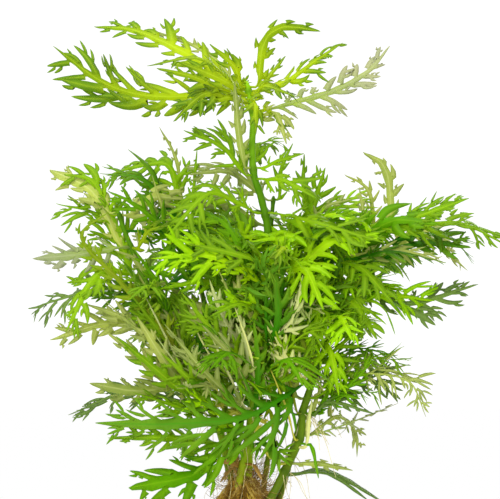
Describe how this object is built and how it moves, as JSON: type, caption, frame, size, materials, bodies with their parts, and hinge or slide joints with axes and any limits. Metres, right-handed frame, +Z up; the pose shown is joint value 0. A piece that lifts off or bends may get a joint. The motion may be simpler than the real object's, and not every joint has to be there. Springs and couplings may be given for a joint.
{
  "type": "water wisteria",
  "caption": "Bushy rooted aquarium plant, a water wisteria, with deeply lobed fern-like green leaves on upright stems that rise from one root mass.",
  "frame": {"origin": "on the ground, under the middle of the flat underside of the root mass", "axes": "+Z up along the stems; -Y towards the viewer of the front; +X to the viewer's right"},
  "size_m": [0.2422, 0.1542, 0.2757],
  "materials": {
    "leaf_young": "satin yellow-green living leaf",
    "leaf_mature": "satin mid-green living leaf",
    "leaf_deep": "satin deep-green living leaf",
    "leaf_pale": "dull grey-green underside of a living leaf",
    "stem": "satin green living stem",
    "roots": "rough brown root fibres"
  },
  "bodies": {
    "root": {"leaf_tall_1": "leaf_young", "leaf_tall_2": "leaf_young", "leaf_tall_4": "leaf_young", "leaf_tall_5": "leaf_young", "leaf_tall_6": "leaf_pale", "leaf_tall_8": "leaf_young", "leaf_tall_9": "leaf_pale", "leaf_tall_10": "leaf_mature", "leaf_tall_11": "leaf_young", "leaf_tall_12": "leaf_mature", "leaf_tall_13": "leaf_mature", "leaf_tall_14": "leaf_mature", "leaf_tall_15": "leaf_young", "leaf_front_1": "leaf_mature", "leaf_front_2": "leaf_young", "leaf_front_3": "leaf_deep", "leaf_front_4": "leaf_young", "leaf_front_5": "leaf_deep", "leaf_front_6": "leaf_deep", "leaf_front_7": "leaf_deep", "leaf_right_1": "leaf_mature", "leaf_right_2": "leaf_mature", "leaf_right_3": "leaf_mature", "leaf_right_5": "leaf_mature", "leaf_right_6": "leaf_pale", "leaf_right_7": "leaf_deep", "leaf_right_8": "leaf_pale", "leaf_right_9": "leaf_young", "leaf_right_back_1": "leaf_pale", "leaf_right_back_2": "leaf_deep", "leaf_right_back_3": "leaf_pale", "leaf_right_back_4": "leaf_mature", "leaf_right_back_5": "leaf_mature", "leaf_right_back_6": "leaf_mature", "leaf_left_1": "leaf_pale", "leaf_left_2": "leaf_pale", "leaf_left_3": "leaf_mature", "leaf_left_4": "leaf_mature", "leaf_left_5": "leaf_pale", "leaf_left_6": "leaf_pale", "leaf_left_7": "leaf_deep", "leaf_left_8": "leaf_deep", "leaf_left_9": "leaf_deep", "leaf_left_back_1": "leaf_mature", "leaf_left_back_2": "leaf_deep", "leaf_left_back_3": "leaf_mature", "leaf_left_back_4": "leaf_mature", "leaf_back_1": "leaf_mature", "leaf_back_2": "leaf_mature", "leaf_back_3": "leaf_mature", "leaf_back_4": "leaf_deep", "stem_tall": "stem", "stem_front": "stem", "stem_right": "stem", "stem_right_back": "stem", "stem_thin": "stem", "stem_left": "stem", "stem_left_back": "stem", "stem_back": "stem", "root_mass": "roots"}
  },
  "joints": []
}
